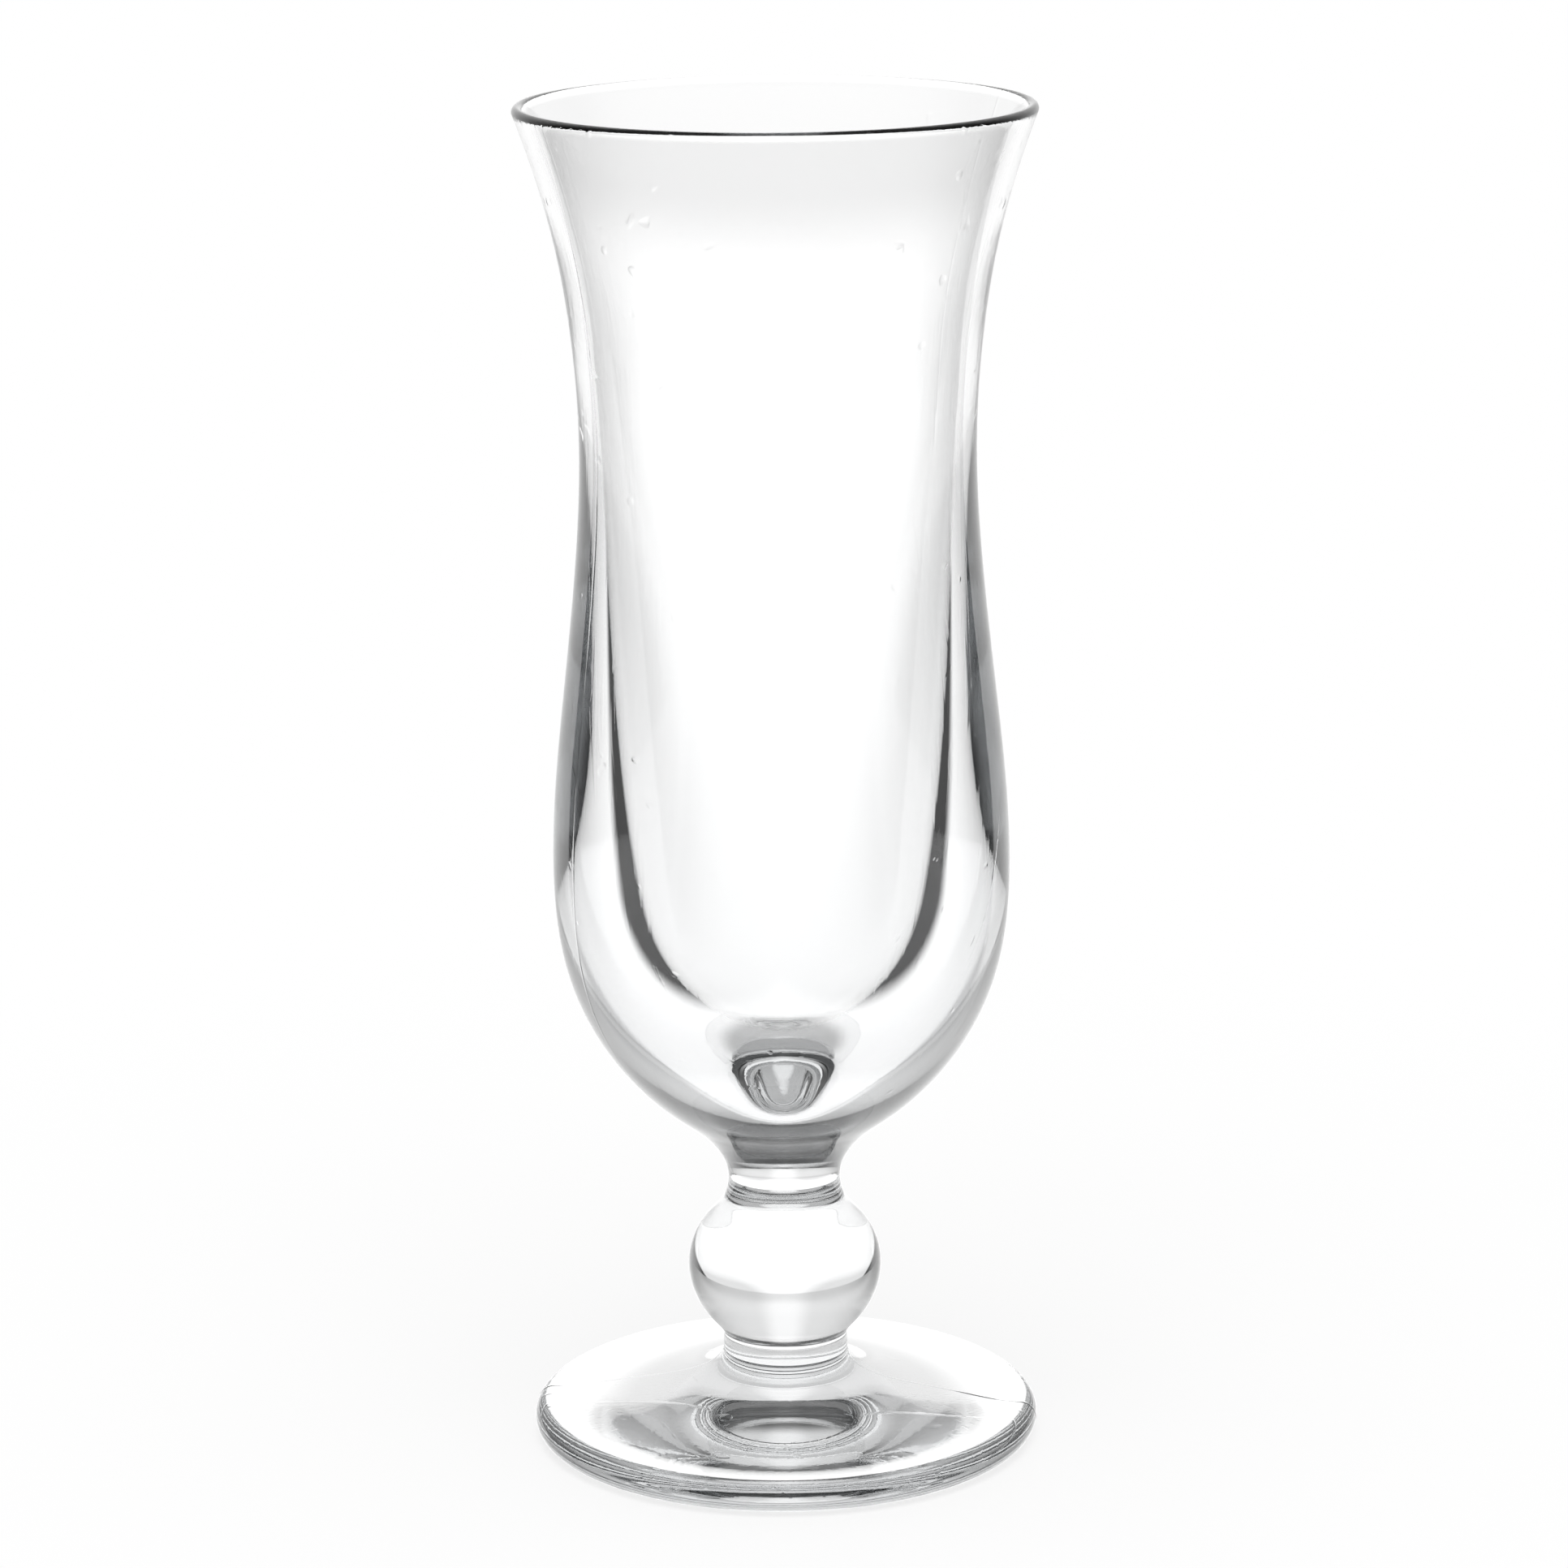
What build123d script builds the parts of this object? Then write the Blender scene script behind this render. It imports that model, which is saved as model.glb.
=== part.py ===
"""Hurricane glass: a tall clear glass with a flared lip, a heavy rounded base, a ball knop and a round foot.

Three pressed pieces, fused end to end on one axis: the foot stands on the ground, the stem stands on the foot
and the bowl stands on the stem. Millimetres, +Z up, origin at the middle of the ground under the foot.
"""
from build123d import *
import math
import os

# Overall sizes
HEIGHT = 206.0
LIP_RADIUS = 38.8
FOOT_RADIUS = 39.1

# Outside of the bowl: its narrowest neck, its widest bulge and its waist
NECK_HEIGHT = 41.0
NECK_RADIUS = 8.65
BULGE_HEIGHT = 91.0
BULGE_RADIUS = 34.75
WAIST_HEIGHT = 156.0
WAIST_RADIUS = 29.75

# Wall of the bowl, which thickens from the lip down to the heavy base, and the lip's outward lean in degrees
LIP_WALL = 1.7
FLARE_WALL = 1.75
WAIST_WALL = 2.6
SHOULDER_WALL = 7.1
BULGE_WALL = 11.1
LIP_LEAN = 20.0
FLOOR_HEIGHT = 60.1

# Ball knop of the stem, and the collar below it
BALL_HEIGHT = 26.7
BALL_RADIUS = 14.92
COLLAR_TOP = 15.8
COLLAR_RADIUS = 9.6

# Foot: its joint with the collar, its rounded edge, the flat ring it rests on and the slight hollow within
FOOT_TOP = 13.0
FOOT_EDGE = 4.9
REST_RING_WIDTH = 2.6
FOOT_HOLLOW = 0.5

# How each curve bends between two named places: shares of the way in radius and of the way in height
NECK_TO_BULGE = [(0.078, 0.10), (0.347, 0.22), (0.653, 0.38), (0.900, 0.62)]
BULGE_TO_WAIST = [(0.370, 0.385), (0.870, 0.755)]
WAIST_TO_LIP = [(0.110, 0.32), (0.412, 0.64)]
SPACE_TO_FLOOR = [(0.150, 0.437), (0.360, 0.681), (0.640, 0.864)]
COLLAR_TO_BALL = [(0.360, 0.22), (0.820, 0.57)]
BALL_TO_NECK = [(0.080, 0.23), (0.434, 0.51), (0.830, 0.71)]
COLLAR_TO_EDGE = [(0.030, 0.240), (0.130, 0.470), (0.360, 0.675), (0.670, 0.850)]
HOLLOW_TO_AXIS = [(0.500, 0.75)]


def bends(start, end, shares):
    """The points of a curve between two places, at the given shares of the way from one to the other."""
    width = end[0] - start[0]
    rise = end[1] - start[1]
    return [(start[0] + width * across, start[1] + rise * up) for across, up in shares]


def swept(*points, leave, arrive):
    """A smooth curve through the points, with the given directions at its first and last point."""
    return Spline(*points, tangents=(leave, arrive), tangent_scalars=(1, 1))


def revolved(profile):
    """A full turn of a closed half profile about the upright axis."""
    with BuildPart() as turned:
        with BuildSketch(Plane.XZ):
            add(profile)
            make_face()
        revolve(axis=Axis.Z)
    return turned.part


def bowl():
    """The drinking bowl: a rounded lip, a waist, and a bulge whose thick wall closes into a solid base."""
    neck = (NECK_RADIUS, NECK_HEIGHT)
    bulge = (BULGE_RADIUS, BULGE_HEIGHT)
    waist = (WAIST_RADIUS, WAIST_HEIGHT)
    rim = (LIP_RADIUS, HEIGHT)
    base = bends(neck, bulge, NECK_TO_BULGE)
    shoulder, under_waist = bends(bulge, waist, BULGE_TO_WAIST)
    above_waist, flare = bends(waist, rim, WAIST_TO_LIP)

    bead = LIP_WALL / 2
    lean_out = bead * math.sin(math.radians(LIP_LEAN))
    lean_up = bead * math.cos(math.radians(LIP_LEAN))
    bead_radius = LIP_RADIUS - bead
    bead_height = HEIGHT - bead
    lip_outside = (bead_radius + lean_up, bead_height - lean_out)
    lip_top = (bead_radius + lean_out, bead_height + lean_up)
    lip_inside = (bead_radius - lean_up, bead_height + lean_out)

    space = (BULGE_RADIUS - BULGE_WALL, BULGE_HEIGHT)
    floor = (0, FLOOR_HEIGHT)
    inside = [
        (flare[0] - FLARE_WALL, flare[1]),
        (above_waist[0] - (FLARE_WALL + WAIST_WALL) / 2, above_waist[1]),
        (WAIST_RADIUS - WAIST_WALL, WAIST_HEIGHT),
        (shoulder[0] - SHOULDER_WALL, shoulder[1]),
        space,
        *bends(space, floor, SPACE_TO_FLOOR),
        floor,
    ]
    outside = [neck, *base, bulge, shoulder, under_waist, waist, above_waist, flare, lip_outside]
    with BuildLine() as profile:
        swept(*outside, leave=(0, 1), arrive=(lean_out, lean_up))
        ThreePointArc(lip_outside, lip_top, lip_inside)
        swept(lip_inside, *inside, leave=(-lean_out, -lean_up), arrive=(-1, 0))
        Polyline(floor, (0, NECK_HEIGHT), neck)
    return revolved(profile.line)


def stem():
    """The solid stem: a short collar, a slightly flattened ball and the neck that carries the bowl."""
    foot_joint = (COLLAR_RADIUS, FOOT_TOP)
    collar = (COLLAR_RADIUS, COLLAR_TOP)
    ball = (BALL_RADIUS, BALL_HEIGHT)
    neck = (NECK_RADIUS, NECK_HEIGHT)
    below = bends(collar, ball, COLLAR_TO_BALL)
    above = bends(ball, neck, BALL_TO_NECK)
    with BuildLine() as profile:
        Polyline((0, NECK_HEIGHT), (0, FOOT_TOP), foot_joint, collar)
        swept(collar, *below, ball, *above, neck, leave=(1, 2), arrive=(0, 1))
        Line(neck, (0, NECK_HEIGHT))
    return revolved(profile.line)


def foot():
    """The round foot: a disc with a rounded edge that sweeps up to the collar, slightly hollow below."""
    collar = (COLLAR_RADIUS, FOOT_TOP)
    edge_radius = FOOT_RADIUS - FOOT_EDGE / 2
    edge = (edge_radius, FOOT_EDGE)
    edge_middle = (FOOT_RADIUS, FOOT_EDGE / 2)
    rest_outside = (edge_radius, 0)
    rest_inside = (edge_radius - REST_RING_WIDTH, 0)
    hollow = (0, FOOT_HOLLOW)
    under = bends(rest_inside, hollow, HOLLOW_TO_AXIS)
    into_hollow = (-rest_inside[0], 2 * FOOT_HOLLOW)
    with BuildLine() as profile:
        Line((0, FOOT_TOP), collar)
        swept(collar, *bends(collar, edge, COLLAR_TO_EDGE), edge, leave=(0, -1), arrive=(1, 0))
        ThreePointArc(edge, edge_middle, rest_outside)
        Line(rest_outside, rest_inside)
        swept(rest_inside, *under, hollow, leave=into_hollow, arrive=(-1, 0))
        Line(hollow, (0, FOOT_TOP))
    return revolved(profile.line)


os.makedirs("parts", exist_ok=True)
for name, make in (("bowl", bowl), ("stem", stem), ("foot", foot)):
    piece = make()
    piece.label = name
    export_step(piece, f"parts/{name}.step")
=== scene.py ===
"""Hurricane glass of clear pressed glass: a flared bowl, a ball-knop stem and a round foot, fused together.

Each piece is a half profile in millimetres, turned once round the upright axis by geometry nodes that also
raise the two mould lines and the faint ripple of pressed glass. The set is the usual one for clear glass: a
light tent that is white behind, darker above and dark low in front, over a floor that is plain white to the
eye
and, to the glass, a painted glow: a white sheet under and behind the glass, painted dark around it and
painted in shadow under the foot. Floor, tent and lamp turn with the camera, so that every side is seen
against white.
"""
import math

import bmesh
import bpy
import numpy as np
from mathutils import Matrix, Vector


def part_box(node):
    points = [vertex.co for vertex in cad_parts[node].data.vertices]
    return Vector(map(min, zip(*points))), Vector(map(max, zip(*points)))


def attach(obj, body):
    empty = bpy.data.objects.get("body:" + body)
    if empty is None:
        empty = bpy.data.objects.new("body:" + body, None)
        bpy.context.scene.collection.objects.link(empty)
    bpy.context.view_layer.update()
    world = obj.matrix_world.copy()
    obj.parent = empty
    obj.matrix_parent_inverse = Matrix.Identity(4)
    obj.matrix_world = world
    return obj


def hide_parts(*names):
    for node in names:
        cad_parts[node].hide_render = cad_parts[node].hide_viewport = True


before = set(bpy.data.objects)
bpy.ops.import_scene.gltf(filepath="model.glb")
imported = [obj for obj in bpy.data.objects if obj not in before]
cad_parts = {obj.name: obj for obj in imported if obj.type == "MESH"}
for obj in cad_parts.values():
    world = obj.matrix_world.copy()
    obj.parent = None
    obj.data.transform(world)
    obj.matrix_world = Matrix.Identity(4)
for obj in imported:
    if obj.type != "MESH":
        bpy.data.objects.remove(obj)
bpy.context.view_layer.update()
scene = bpy.context.scene

MM = 0.001

# Sizes that the frame gives, in millimetres
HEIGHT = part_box("bowl")[1].z / MM
LIP_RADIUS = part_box("bowl")[1].x / MM
NECK_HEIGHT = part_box("bowl")[0].z / MM
BALL_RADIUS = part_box("stem")[1].x / MM
FOOT_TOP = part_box("foot")[1].z / MM
FOOT_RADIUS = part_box("foot")[1].x / MM

# Outside of the bowl, and the wall that thickens from the lip down to the heavy base
NECK_RADIUS = 8.65
BULGE_HEIGHT = 91.0
BULGE_RADIUS = 34.75
WAIST_HEIGHT = 156.0
WAIST_RADIUS = 29.75
LIP_WALL = 1.7
FLARE_WALL = 1.75
WAIST_WALL = 2.6
SHOULDER_WALL = 7.1
BULGE_WALL = 11.1
LIP_LEAN = 20.0
FLOOR_HEIGHT = 60.1

# Ball and collar of the stem, edge, rest ring and hollow of the foot
BALL_HEIGHT = 26.7
COLLAR_TOP = 15.8
COLLAR_RADIUS = 9.6
FOOT_EDGE = 4.9
REST_RING_WIDTH = 2.6
FOOT_HOLLOW = 0.5

# Gap at each fused joint, which keeps the two faces of the joint apart
JOINT_GAP = 0.01

# How each curve bends between two named places: shares of the way in radius and of the way in height
NECK_TO_BULGE = [(0.078, 0.10), (0.347, 0.22), (0.653, 0.38), (0.900, 0.62)]
BULGE_TO_WAIST = [(0.370, 0.385), (0.870, 0.755)]
WAIST_TO_LIP = [(0.110, 0.32), (0.412, 0.64)]
SPACE_TO_FLOOR = [(0.150, 0.437), (0.360, 0.681), (0.640, 0.864)]
COLLAR_TO_BALL = [(0.360, 0.22), (0.820, 0.57)]
BALL_TO_NECK = [(0.080, 0.23), (0.434, 0.51), (0.830, 0.71)]
COLLAR_TO_EDGE = [(0.030, 0.240), (0.130, 0.470), (0.360, 0.675), (0.670, 0.850)]
HOLLOW_TO_AXIS = [(0.500, 0.75)]

# Directions in which a curve sets out or arrives, in radius and in height
UP = (0, 1)
OUTWARDS = (1, 0)
INWARDS = (-1, 0)
OUT_OF_COLLAR = (1, 2)

# Spacing of the turned mesh, and the distance under which two places of a profile are the same one
COLUMNS = 256
WALL_STEP = 1.0
FINE_STEP = 0.5
ARC_STEPS = 14
SAME_PLACE = 1e-6

# Mould lines, which the stem has none of: the turn of each pair, their height and width, and then the ripple
BOWL_MOULD_TURN = math.radians(26.6)
FOOT_MOULD_TURN = math.radians(-7.0)
BOWL_MOULD_HEIGHT = 0.015 * MM
FOOT_MOULD_HEIGHT = 0.04 * MM
NO_MOULD_HEIGHT = 0.0
MOULD_LINE_WIDTH = 0.22 * MM
RIPPLE_HEIGHT = 0.002 * MM


# Half profiles

def bends(start, end, shares):
    """The points of a curve between two places, at the given shares of the way from one to the other."""
    width = end[0] - start[0]
    rise = end[1] - start[1]
    return [(start[0] + width * across, start[1] + rise * up) for across, up in shares]


def swept(points, leave, arrive, step):
    """Points along a smooth curve through the given ones, with the given directions at its two ends."""
    knots = np.array(points, float)
    spans = np.linalg.norm(np.diff(knots, axis=0), axis=1)
    slopes = np.diff(knots, axis=0) / spans[:, None]
    count = len(knots)
    system = np.eye(count)
    target = np.zeros((count, 2))
    target[0] = np.array(leave) / np.linalg.norm(leave)
    target[-1] = np.array(arrive) / np.linalg.norm(arrive)
    for i in range(1, count - 1):
        before, after = spans[i - 1], spans[i]
        system[i, i - 1:i + 2] = after, 2 * (before + after), before
        target[i] = 3 * (before * slopes[i] + after * slopes[i - 1])
    speeds = np.linalg.solve(system, target)
    line = [knots[0]]
    for i, span in enumerate(spans):
        pieces = max(1, math.ceil(span / step))
        for share in np.linspace(0, 1, pieces + 1)[1:]:
            rest = 1 - share
            line.append(
                knots[i] * rest * rest * (1 + 2 * share) + knots[i + 1] * share * share * (3 - 2 * share)
                + span * share * rest * (speeds[i] * rest - speeds[i + 1] * share)
            )
    return [tuple(place) for place in line]


def rounded(centre, radius, start, end):
    """Points along an arc, from one angle in degrees to another."""
    angles = np.radians(np.linspace(start, end, ARC_STEPS + 1))
    return [(centre[0] + radius * math.cos(a), centre[1] + radius * math.sin(a)) for a in angles]


def bowl_profile():
    """The bowl from the axis at its joint, up the outside, over the lip and down the inside to the axis."""
    neck = (NECK_RADIUS, NECK_HEIGHT + JOINT_GAP / 2)
    bulge = (BULGE_RADIUS, BULGE_HEIGHT)
    waist = (WAIST_RADIUS, WAIST_HEIGHT)
    base = bends(neck, bulge, NECK_TO_BULGE)
    shoulder, under_waist = bends(bulge, waist, BULGE_TO_WAIST)
    above_waist, flare = bends(waist, (LIP_RADIUS, HEIGHT), WAIST_TO_LIP)
    bead = LIP_WALL / 2
    lip = rounded((LIP_RADIUS - bead, HEIGHT - bead), bead, -LIP_LEAN, 180 - LIP_LEAN)
    lean = (math.sin(math.radians(LIP_LEAN)), math.cos(math.radians(LIP_LEAN)))
    space = (BULGE_RADIUS - BULGE_WALL, BULGE_HEIGHT)
    floor = (0, FLOOR_HEIGHT)
    outside = swept([neck, *base, bulge, shoulder, under_waist, waist, above_waist, flare, lip[0]],
                    UP, lean, WALL_STEP)
    inside = swept([
        lip[-1],
        (flare[0] - FLARE_WALL, flare[1]),
        (above_waist[0] - (FLARE_WALL + WAIST_WALL) / 2, above_waist[1]),
        (WAIST_RADIUS - WAIST_WALL, WAIST_HEIGHT),
        (shoulder[0] - SHOULDER_WALL, shoulder[1]),
        space,
        *bends(space, floor, SPACE_TO_FLOOR),
        floor,
    ], (-lean[0], -lean[1]), INWARDS, WALL_STEP)
    return [("joint", [(0, neck[1]), neck]), ("moulded", outside), ("plain", lip), ("plain", inside)]


def stem_profile():
    """The stem from the axis at the foot's joint, up round the ball to the axis at the bowl's joint."""
    foot_joint = (COLLAR_RADIUS, FOOT_TOP + JOINT_GAP / 2)
    collar = (COLLAR_RADIUS, COLLAR_TOP)
    ball = (BALL_RADIUS, BALL_HEIGHT)
    neck = (NECK_RADIUS, NECK_HEIGHT - JOINT_GAP / 2)
    below = bends(collar, ball, COLLAR_TO_BALL)
    above = bends(ball, neck, BALL_TO_NECK)
    wall = swept([foot_joint, collar], UP, UP, FINE_STEP)
    knop = swept([collar, *below, ball, *above, neck], OUT_OF_COLLAR, UP, FINE_STEP)
    return [("joint", [(0, foot_joint[1]), foot_joint]), ("plain", wall), ("plain", knop),
            ("joint", [neck, (0, neck[1])])]


def foot_profile():
    """The foot from the axis below, out under the rest ring, round the edge and up to its joint."""
    collar = (COLLAR_RADIUS, FOOT_TOP - JOINT_GAP / 2)
    half_edge = FOOT_EDGE / 2
    edge_radius = FOOT_RADIUS - half_edge
    rest_inside = (edge_radius - REST_RING_WIDTH, 0)
    hollow = (0, FOOT_HOLLOW)
    under = bends(rest_inside, hollow, HOLLOW_TO_AXIS)
    out_of_hollow = (rest_inside[0], -2 * FOOT_HOLLOW)
    hollow_line = swept([hollow, *reversed(under), rest_inside], OUTWARDS, out_of_hollow, WALL_STEP)
    edge = rounded((edge_radius, half_edge), half_edge, -90, 90)
    slope = bends(collar, edge[-1], COLLAR_TO_EDGE)
    top = swept([edge[-1], *reversed(slope), collar], INWARDS, UP, FINE_STEP)
    return [("plain", hollow_line), ("plain", [rest_inside, edge[0]]), ("moulded", edge), ("moulded", top),
            ("joint", [collar, (0, collar[1])])]


# Node helpers

WHITE = (1, 1, 1, 1)
LEVEL = (1, 1, 0)


def add(tree, kind, inputs=None, **settings):
    """A new node with its settings, and its inputs set to values or linked to sockets, by name or place."""
    made = tree.nodes.new(kind)
    for name, value in settings.items():
        setattr(made, name, value)
    for key, value in (inputs or {}).items():
        if isinstance(value, bpy.types.NodeSocket):
            tree.links.new(value, made.inputs[key])
        else:
            made.inputs[key].default_value = value
    return made


def calc(tree, operation, first, second=0.0):
    """The number that one sum gives."""
    return add(tree, "ShaderNodeMath", {0: first, 1: second}, operation=operation).outputs[0]


def product(tree, first, *others):
    """All the numbers multiplied together."""
    total = first
    for other in others:
        total = calc(tree, "MULTIPLY", total, other)
    return total


def vector(tree, operation, *terms):
    """What one sum on places or directions gives, by name."""
    return add(tree, "ShaderNodeVectorMath", dict(enumerate(terms)), operation=operation).outputs


def split(tree, place):
    """The three numbers of a place or a direction, by name."""
    return add(tree, "ShaderNodeSeparateXYZ", {0: place}).outputs


def noise(tree, place, scale, detail):
    """Soft noise that goes up and down about a half."""
    return add(tree, "ShaderNodeTexNoise", {"Vector": place, "Scale": scale, "Detail": detail}).outputs[0]


def fade(tree, value, span, start, end):
    """A number that goes softly from a start to an end while a value crosses a span."""
    limits = {"From Min": span[0], "From Max": span[1], "To Min": start, "To Max": end}
    made = add(tree, "ShaderNodeMapRange", {"Value": value, **limits}, interpolation_type="SMOOTHSTEP")
    return made.outputs["Result"]


# Turning a half profile into a piece of glass

PIECE_INPUTS = (
    ("Half Profile", "Geometry"),
    ("Columns", "Int"),
    ("Mould Turn", "Float"),
    ("Mould Line Height", "Float"),
    ("Mould Line Width", "Float"),
    ("Ripple Height", "Float"),
    ("Glass", "Material"),
)
HALF = 0.5
MOULD_CROWDING = 0.9
RIPPLE_SCALE = 55.0
RIPPLE_DETAIL = 1.0
MERGE_DISTANCE = 1e-7
SHARP_ANGLE = math.radians(40)


def turning_tree():
    """Geometry nodes that turn a half profile once round the upright axis, with mould lines and ripple."""
    tree = bpy.data.node_groups.new("turned_glass", "GeometryNodeTree")
    for name, kind in PIECE_INPUTS:
        tree.interface.new_socket(name, in_out="INPUT", socket_type="NodeSocket" + kind)
    tree.interface.new_socket("Piece", in_out="OUTPUT", socket_type="NodeSocketGeometry")
    given = tree.nodes.new("NodeGroupInput").outputs
    profile = given["Half Profile"]

    # A flat grid, 1 by 1 about its middle, with a row for each point of the profile
    rows = add(tree, "GeometryNodeAttributeDomainSize", {"Geometry": profile}).outputs["Point Count"]
    columns = calc(tree, "ADD", given["Columns"], 1)
    size = {"Size X": 1, "Size Y": 1, "Vertices X": columns, "Vertices Y": rows}
    grid = add(tree, "GeometryNodeMeshGrid", size).outputs["Mesh"]
    place = split(tree, tree.nodes.new("GeometryNodeInputPosition").outputs[0])
    row = product(tree, calc(tree, "ADD", place["Y"], HALF), calc(tree, "SUBTRACT", rows, 1))
    row = calc(tree, "ROUND", row)

    def sampled(kind, value):
        """What the profile's point of this row has."""
        wanted = {"Geometry": profile, "Value": value, "Index": row}
        return add(tree, "GeometryNodeSampleIndex", wanted, data_type=kind, domain="POINT").outputs["Value"]

    def stored(kind, name):
        """What the profile's point of this row keeps under a name."""
        kept = add(tree, "GeometryNodeInputNamedAttribute", {"Name": name}, data_type=kind)
        return sampled(kind, kept.outputs["Attribute"])

    radius = sampled("FLOAT", place["X"])
    height = sampled("FLOAT", place["Z"])
    facing = split(tree, stored("FLOAT_VECTOR", "facing"))
    mould = stored("FLOAT", "mould")
    fused = stored("FLOAT", "fused")

    # Turn of each column, crowded at the two mould lines
    even_turn = product(tree, calc(tree, "ADD", place["X"], HALF), math.tau)
    from_mould = calc(tree, "SUBTRACT", even_turn, given["Mould Turn"])
    crowd = calc(tree, "SINE", product(tree, from_mould, 2))
    turn = calc(tree, "SUBTRACT", even_turn, product(tree, crowd, MOULD_CROWDING / 2))
    cosine = calc(tree, "COSINE", turn)
    sine = calc(tree, "SINE", turn)

    def around(out, up):
        """The place in this column at a radius and a height."""
        ways = {"X": product(tree, out, cosine), "Y": product(tree, out, sine), "Z": up}
        return add(tree, "ShaderNodeCombineXYZ", ways).outputs[0]

    # Lift of the mould lines and the ripple, straight out of the wall
    aside = product(tree, calc(tree, "SINE", calc(tree, "SUBTRACT", turn, given["Mould Turn"])), radius)
    aside = calc(tree, "DIVIDE", aside, given["Mould Line Width"])
    ridge = calc(tree, "POWER", math.e, product(tree, aside, aside, -1))
    ridge = product(tree, ridge, mould, given["Mould Line Height"])
    waves = noise(tree, around(radius, height), RIPPLE_SCALE, RIPPLE_DETAIL)
    ripple = product(tree, calc(tree, "SUBTRACT", waves, HALF), given["Ripple Height"])
    ripple = product(tree, ripple, calc(tree, "SUBTRACT", 1, fused))
    lift = calc(tree, "ADD", ridge, ripple)
    radius = calc(tree, "ADD", radius, product(tree, facing["X"], lift))
    height = calc(tree, "ADD", height, product(tree, facing["Z"], lift))

    # The grid rolled up, closed at its seam and its poles, and smooth but for its sharp edges
    bend = tree.nodes.new("GeometryNodeInputMeshEdgeAngle").outputs["Unsigned Angle"]
    sharp = calc(tree, "GREATER_THAN", bend, SHARP_ANGLE)
    piece = grid
    for step, inputs, settings in (
        ("StoreNamedAttribute", {"Name": "fused", "Value": fused}, {"data_type": "FLOAT"}),
        ("SetPosition", {"Position": around(radius, height)}, {}),
        ("MergeByDistance", {"Distance": MERGE_DISTANCE}, {}),
        ("SetShadeSmooth", {}, {}),
        ("SetShadeSmooth", {"Selection": sharp, "Shade Smooth": False}, {"domain": "EDGE"}),
        ("RealizeInstances", {}, {}),
        ("SetMaterial", {"Material": given["Glass"]}, {}),
    ):
        piece = add(tree, "GeometryNode" + step, {"Geometry": piece, **inputs}, **settings).outputs[0]
    tree.links.new(piece, tree.nodes.new("NodeGroupOutput").inputs[0])
    return tree


def half_profile(name, runs):
    """A row of points for a half profile, each keeping which way it faces and the kind of its run."""
    places, fused, mould = [], [], []
    for kind, line in runs:
        for place in line:
            if places and math.dist(place, places[-1]) < SAME_PLACE:
                fused[-1] = max(fused[-1], kind == "joint")
                continue
            places.append((float(place[0]), float(place[1])))
            fused.append(kind == "joint")
            mould.append(kind == "moulded")
    along = np.gradient(np.array(places), axis=0)
    facing = np.stack([along[:, 1], np.zeros(len(places)), -along[:, 0]], 1)
    facing /= np.linalg.norm(facing, axis=1)[:, None]
    mesh = bpy.data.meshes.new(name)
    mesh.from_pydata([(r * MM, 0, z * MM) for r, z in places], [], [])
    for title, values in (("fused", fused), ("mould", mould)):
        mesh.attributes.new(title, "FLOAT", "POINT").data.foreach_set("value", np.array(values, np.float32))
    ways = mesh.attributes.new("facing", "FLOAT_VECTOR", "POINT")
    ways.data.foreach_set("vector", facing.astype(np.float32).ravel())
    piece = bpy.data.objects.new(name, mesh)
    scene.collection.objects.link(piece)
    return piece


def turned(tree, name, node, runs, **sizes):
    """One piece of the glass, turned from its half profile, in place of a node of the frame."""
    piece = half_profile(name, runs)
    modifier = piece.modifiers.new("turn", "NODES")
    modifier.node_group = tree
    for item in tree.interface.items_tree:
        key = item.name.lower().replace(" ", "_")
        if item.in_out == "INPUT" and key in sizes:
            modifier[item.identifier] = sizes[key]
    depsgraph = bpy.context.evaluated_depsgraph_get()
    mesh = bpy.data.meshes.new_from_object(piece.evaluated_get(depsgraph))
    piece.modifiers.clear()
    piece.data = mesh
    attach(piece, "root")
    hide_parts(node)
    return piece


# Finish of the glass: its index, and the cool grey that it takes on with depth

GLASS_IOR = 1.56
DEPTH_COLOUR = (0.49, 0.503, 0.511, 1)
DEPTH_DENSITY = 15.0

# Least value of "fused" on the faces of a joint, where the index is 1 and light goes straight on
IN_JOINT = 0.999

# Smudges in the roughness, and in the bump rub marks drawn out upwards and small seeds
SMUDGE_SCALE = 38.0
SMUDGE_DETAIL = 1.0
SMUDGE_SPAN = (0.50, 0.80)
SMUDGE_ROUGHNESS = 0.03
RUB_STRETCH = (900.0, 900.0, 45.0)
RUB_SCALE = 1.0
RUB_SPAN = (0.62, 0.74)
RUB_HEIGHT = 0.0015 * MM
SEED_SCALE = 320.0
SEED_SPAN = (0.80, 0.90)
SEED_HEIGHT = 0.03 * MM
MARK_DETAIL = 0.0


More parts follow.
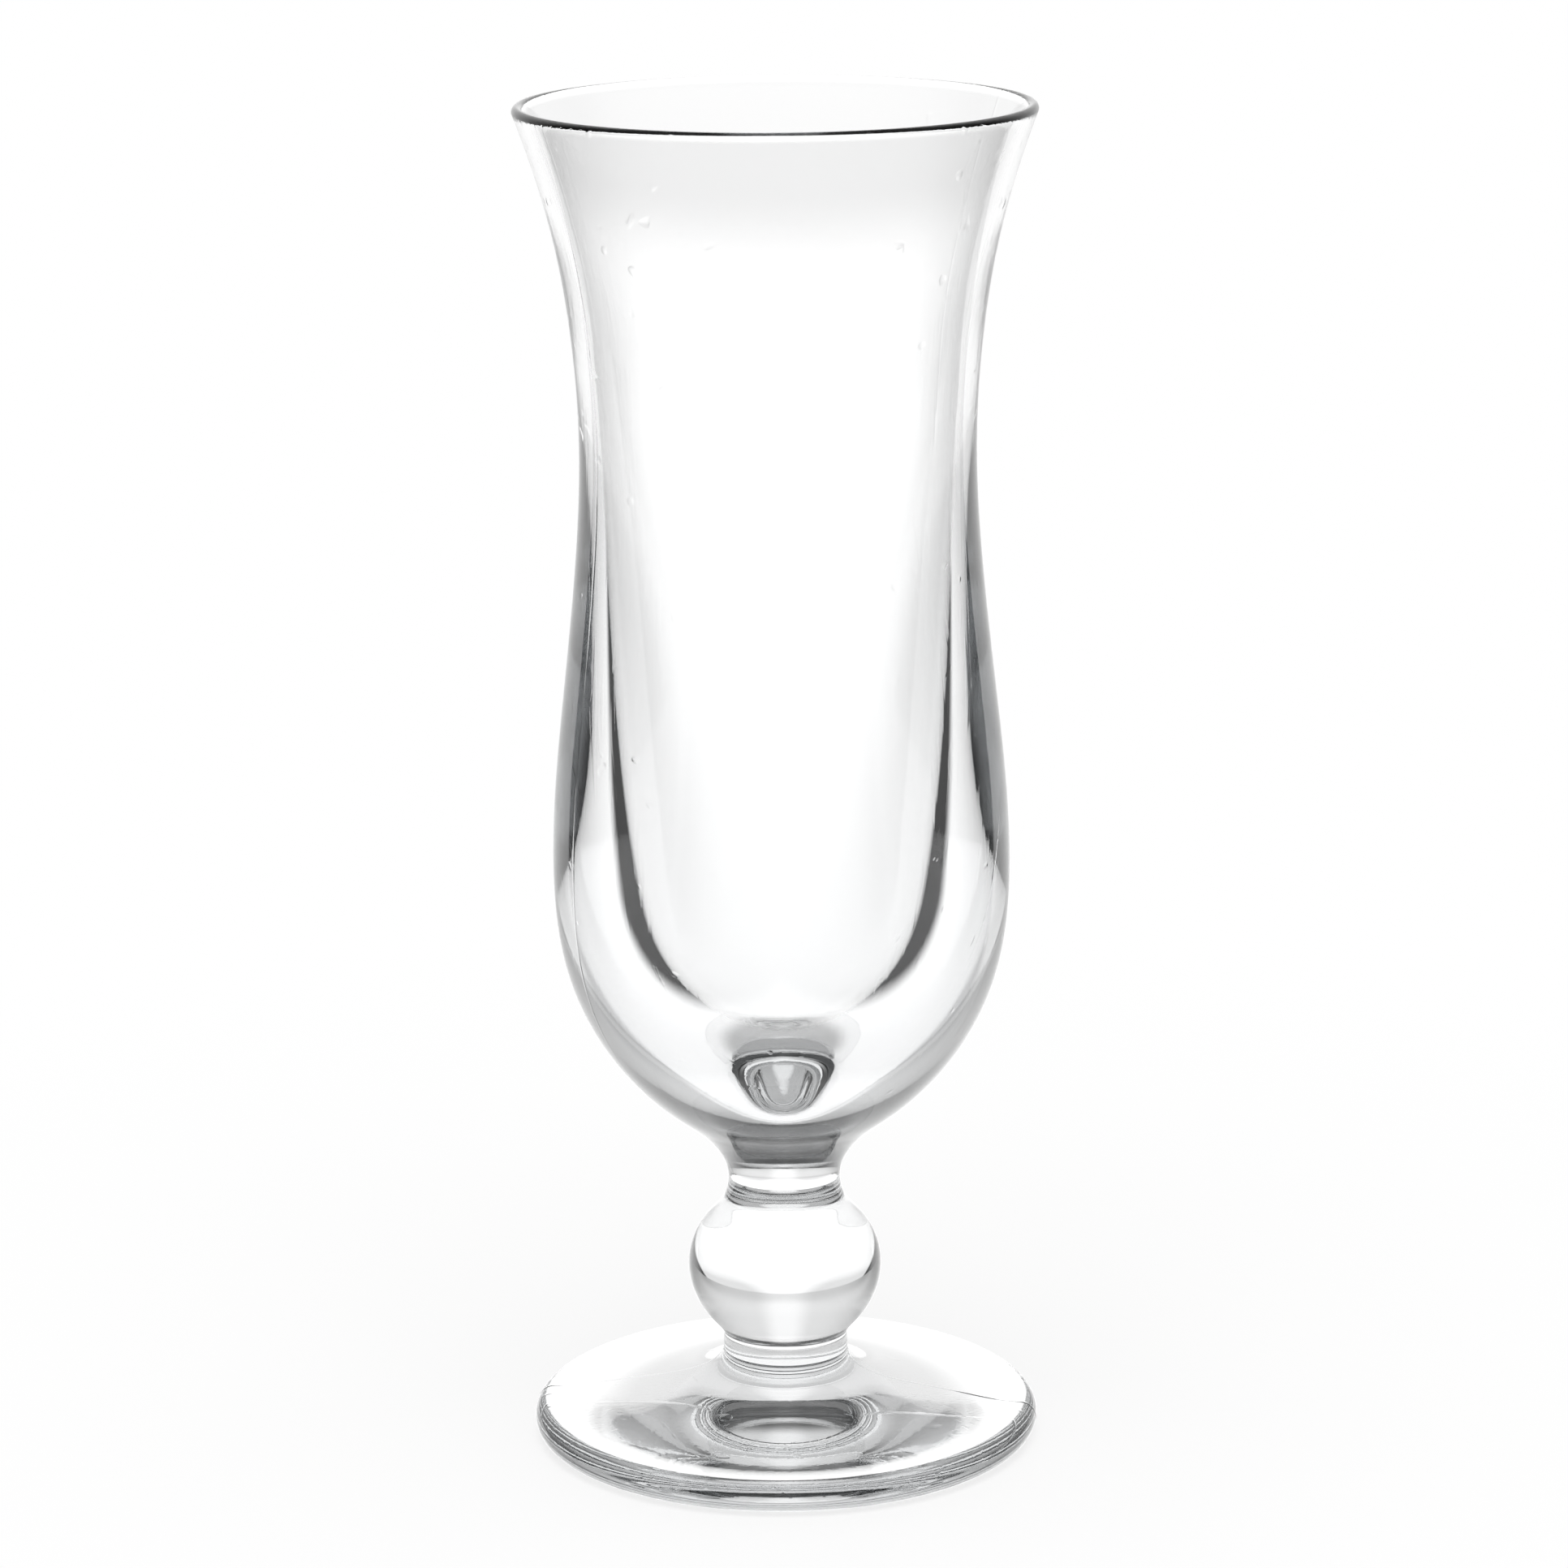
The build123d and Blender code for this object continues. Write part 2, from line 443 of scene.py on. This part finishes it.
def clear_glass():
    """Clear fire-polished glass, with faint haze and marks of handling, whole across its fused joints."""
    material = bpy.data.materials.new("clear_glass")
    material.use_nodes = True
    tree = material.node_tree
    shader = tree.nodes["Principled BSDF"].inputs
    shader["Base Color"].default_value = WHITE
    shader["Transmission Weight"].default_value = 1
    place = tree.nodes.new("ShaderNodeTexCoord").outputs["Object"]

    smudge = noise(tree, place, SMUDGE_SCALE, SMUDGE_DETAIL)
    tree.links.new(fade(tree, smudge, SMUDGE_SPAN, 0, SMUDGE_ROUGHNESS), shader["Roughness"])

    stretched = vector(tree, "MULTIPLY", place, RUB_STRETCH)["Vector"]
    rub = fade(tree, noise(tree, stretched, RUB_SCALE, MARK_DETAIL), RUB_SPAN, 0, RUB_HEIGHT)
    seed = fade(tree, noise(tree, place, SEED_SCALE, MARK_DETAIL), SEED_SPAN, 0, SEED_HEIGHT)
    marks = calc(tree, "ADD", rub, seed)
    relief = add(tree, "ShaderNodeBump", {"Strength": 1, "Distance": 1, "Height": marks})
    tree.links.new(relief.outputs["Normal"], shader["Normal"])

    fused = add(tree, "ShaderNodeAttribute", attribute_name="fused").outputs["Fac"]
    step = product(tree, calc(tree, "LESS_THAN", fused, IN_JOINT), GLASS_IOR - 1)
    tree.links.new(calc(tree, "ADD", step, 1), shader["IOR"])

    depth = add(tree, "ShaderNodeVolumeAbsorption", {"Color": DEPTH_COLOUR, "Density": DEPTH_DENSITY})
    tree.links.new(depth.outputs["Volume"], tree.nodes["Material Output"].inputs["Volume"])
    return material


# The set, in metres and strengths of light: a light tent over a floor, which turn with the camera

# Floor as the glass sees it, in painted light: a glowing white sheet that widens to the back, on a floor
# painted dark
WHITE_SHEET_GLOW = 1.45
DARK_FLOOR_GLOW = 0.09
WHITE_HALF_WIDTH = 0.064
WHITE_SPREAD = 0.98
WHITE_SOFTNESS = 0.018

# The same painted sheet of light dims far back, and behind the glass it dims to the sides
BACK_SHEET_GLOW = 1.07
BACK_RUN = (0.65, 1.50)
SIDE_START = 0.25
SIDE_TURN = (0.05, 0.20)
SIDE_RUN = (0.08, 0.30)
SIDE_LOSS = 0.28

# Painted shadow of the glass in the floor's glow under the foot, apart from a painted pool of light in its
# middle, below the stem
SPOT_REACH = (0.004, 0.009)
SPOT_LIGHT = 1.0
PAINTED_SHADOW_LEVEL = 0.55
FOOT_SHADE = (0.022, 0.034)

# Floor itself, and the share of shadow that the camera sees on it
FLOOR_REACH = 5.0
FLOOR_DROP = 0.0002
SHADOW_SHARE = 0.2
SHADOW_REACH = (0.12, 0.30)

# Back of the light tent, which is less bright at its foot and its sides and dark at its top
TENT_RADIUS = 1.5
TENT_SEGMENTS = 64
TENT_RINGS = 32
TENT_BACK = 1.26
TENT_LOW_BACK = 1.07
TENT_LOW_RISE = (0.02, 0.12)
TENT_SIDE_TURN = (0.05, 0.25)
TENT_SIDE_LOSS = 0.22
TENT_TOP = 0.15
TENT_BACK_FADE = (0.80, 0.90)

# Front of the light tent, and how it turns into the back
TENT_LOW_FRONT = 0.05
TENT_HIGH_FRONT = 0.30
TENT_FRONT_RISE = (0.20, 0.95)
TENT_TURN = (0.20, 1.0)

# Soft lamp that casts the shadow
LAMP_HEIGHT = 1.1
LAMP_FRONT = 0.25
LAMP_SIZE = 0.8
LAMP_POWER = 9.5


def blank(name):
    """A new material with nothing in it but its output, and the place on the object that it shades."""
    material = bpy.data.materials.new(name)
    material.use_nodes = True
    tree = material.node_tree
    tree.nodes.remove(tree.nodes["Principled BSDF"])
    place = tree.nodes.new("ShaderNodeTexCoord").outputs["Object"]
    return material, tree, place


def glow(tree, strength):
    """White light of a strength."""
    return add(tree, "ShaderNodeEmission", {"Color": WHITE, "Strength": strength}).outputs[0]


def floor_material():
    """Pale floor: to the eye plain white with a soft shadow; to the glass a painted glowing white sheet amid
    painted darkness, with painted shadow under the foot.
    """
    material, tree, place = blank("pale_floor")
    at = split(tree, place)
    sideways = calc(tree, "ABSOLUTE", at["X"])
    half_width = calc(tree, "ADD", product(tree, at["Y"], WHITE_SPREAD), WHITE_HALF_WIDTH)
    beyond = calc(tree, "SUBTRACT", sideways, half_width)
    edge = fade(tree, beyond, (-WHITE_SOFTNESS, WHITE_SOFTNESS), 1, 0)
    turn = calc(tree, "DIVIDE", sideways, calc(tree, "ADD", at["Y"], SIDE_START))
    loss = product(tree, fade(tree, turn, SIDE_TURN, 0, 1), fade(tree, at["Y"], SIDE_RUN, 0, SIDE_LOSS))
    # Painted light: the glow of the sheet, fading to the back and, behind the glass, to the sides, on a
    # floor painted dark
    white = fade(tree, at["Y"], BACK_RUN, WHITE_SHEET_GLOW, BACK_SHEET_GLOW)
    white = product(tree, white, calc(tree, "SUBTRACT", 1, loss))
    sheet = calc(tree, "MAXIMUM", product(tree, white, edge), DARK_FLOOR_GLOW)
    away = vector(tree, "LENGTH", place)["Value"]
    # Painted shadow of the glass under the foot, and a painted pool of light below the stem, in the floor's
    # glow
    painted_light_pool = fade(tree, away, SPOT_REACH, SPOT_LIGHT, 0)
    under = calc(tree, "MAXIMUM", painted_light_pool, fade(tree, away, FOOT_SHADE, PAINTED_SHADOW_LEVEL, 1))
    sheet = product(tree, sheet, under)
    direct = tree.nodes.new("ShaderNodeLightPath").outputs["Is Camera Ray"]
    strength = calc(tree, "ADD", direct, product(tree, calc(tree, "SUBTRACT", 1, direct), sheet))
    shaded = product(tree, direct, fade(tree, away, SHADOW_REACH, SHADOW_SHARE, 0))
    matt = add(tree, "ShaderNodeBsdfDiffuse", {"Color": WHITE}).outputs[0]
    both = add(tree, "ShaderNodeMixShader", {0: shaded, 1: glow(tree, strength), 2: matt}).outputs[0]
    tree.links.new(both, tree.nodes["Material Output"].inputs["Surface"])
    return material


def tent_material():
    """Light tent: white behind up to its dark top, dark low in front and grey high in front."""
    material, tree, place = blank("light_tent")
    up = split(tree, vector(tree, "NORMALIZE", place)["Vector"])["Z"]
    level = vector(tree, "MULTIPLY", place, LEVEL)["Vector"]
    compass = split(tree, vector(tree, "NORMALIZE", level)["Vector"])
    behind = fade(tree, compass["Y"], TENT_TURN, 0, 1)
    front = fade(tree, up, TENT_FRONT_RISE, TENT_LOW_FRONT, TENT_HIGH_FRONT)
    aside = fade(tree, calc(tree, "ABSOLUTE", compass["X"]), TENT_SIDE_TURN, 1, 1 - TENT_SIDE_LOSS)
    low = fade(tree, up, TENT_LOW_RISE, TENT_LOW_BACK, TENT_BACK)
    high = fade(tree, up, TENT_BACK_FADE, 1, TENT_TOP / TENT_BACK)
    back = product(tree, low, high, aside)
    more = product(tree, calc(tree, "SUBTRACT", back, front), behind)
    light = glow(tree, calc(tree, "ADD", front, more))
    tree.links.new(light, tree.nodes["Material Output"].inputs["Surface"])
    return material


def on_set(made, turntable):
    """Puts an object of the set on the turntable."""
    made.parent = turntable
    scene.collection.objects.link(made)
    return made


def build_set(camera):
    """Floor, tent and lamp, on a turntable that keeps them square to the camera."""
    turntable = bpy.data.objects.new("turntable", None)
    scene.collection.objects.link(turntable)
    follow = turntable.constraints.new("COPY_ROTATION")
    follow.target = camera
    follow.use_x = False
    follow.use_y = False

    sheet = bpy.data.meshes.new("floor")
    corners = [(-1, -1), (1, -1), (1, 1), (-1, 1)]
    sheet.from_pydata([(FLOOR_REACH * x, FLOOR_REACH * y, 0) for x, y in corners], [], [(0, 1, 2, 3)])
    sheet.materials.append(floor_material())
    on_set(bpy.data.objects.new("floor", sheet), turntable).location.z = -FLOOR_DROP

    dome = bpy.data.meshes.new("light_tent")
    shape = bmesh.new()
    bmesh.ops.create_uvsphere(shape, u_segments=TENT_SEGMENTS, v_segments=TENT_RINGS, radius=TENT_RADIUS)
    shape.to_mesh(dome)
    shape.free()
    dome.materials.append(tent_material())
    on_set(bpy.data.objects.new("light_tent", dome), turntable).visible_camera = False

    lamp = bpy.data.lights.new("lamp", "AREA")
    lamp.size = LAMP_SIZE
    lamp.energy = LAMP_POWER
    soft = on_set(bpy.data.objects.new("lamp", lamp), turntable)
    soft.location = (0, -LAMP_FRONT, LAMP_HEIGHT)
    soft.visible_glossy = False
    soft.visible_transmission = False

    world = bpy.data.worlds.new("white_room")
    scene.world = world
    world.use_nodes = True
    world.node_tree.nodes["Background"].inputs["Color"].default_value = WHITE


# Camera, at the photograph's height and angle: metres, and a lens found in the photograph's pixels

CAMERA_DISTANCE = 0.76666
CAMERA_HEIGHT = 0.29104
CAMERA_SIDE = 0.00048
CAMERA_PITCH = math.radians(13.789)
CAMERA_ROLL = math.radians(-0.4815)
SENSOR_WIDTH = 36.0
FOCAL_PIXELS = 6413.9
PHOTO_PIXELS = 1932

# Turns that light may take through the many faces of the glass
LIGHT_BOUNCES = 28


def place_camera():
    """The camera that looks down on the glass from the front."""
    lens = bpy.data.cameras.new("camera")
    lens.sensor_width = SENSOR_WIDTH
    lens.lens = FOCAL_PIXELS / PHOTO_PIXELS * SENSOR_WIDTH
    camera = bpy.data.objects.new("camera", lens)
    camera.matrix_world = (Matrix.Translation((CAMERA_SIDE, -CAMERA_DISTANCE, CAMERA_HEIGHT))
                           @ Matrix.Rotation(math.pi / 2 - CAMERA_PITCH, 4, "X")
                           @ Matrix.Rotation(CAMERA_ROLL, 4, "Z"))
    scene.collection.objects.link(camera)
    scene.camera = camera
    return camera


# The glass on its set

glass = clear_glass()
turning = turning_tree()
for name, node, runs, mould_turn, mould_height in (
    ("glass_bowl", "bowl", bowl_profile(), BOWL_MOULD_TURN, BOWL_MOULD_HEIGHT),
    ("glass_stem", "stem", stem_profile(), BOWL_MOULD_TURN, NO_MOULD_HEIGHT),
    ("glass_foot", "foot", foot_profile(), FOOT_MOULD_TURN, FOOT_MOULD_HEIGHT),
):
    turned(turning, name, node, runs, columns=COLUMNS, mould_turn=mould_turn,
           mould_line_height=mould_height, mould_line_width=MOULD_LINE_WIDTH,
           ripple_height=RIPPLE_HEIGHT, glass=glass)
build_set(place_camera())
scene.view_settings.view_transform = "Standard"
for kind in ("max", "glossy", "transmission", "transparent_max"):
    setattr(scene.cycles, kind + "_bounces", LIGHT_BOUNCES)
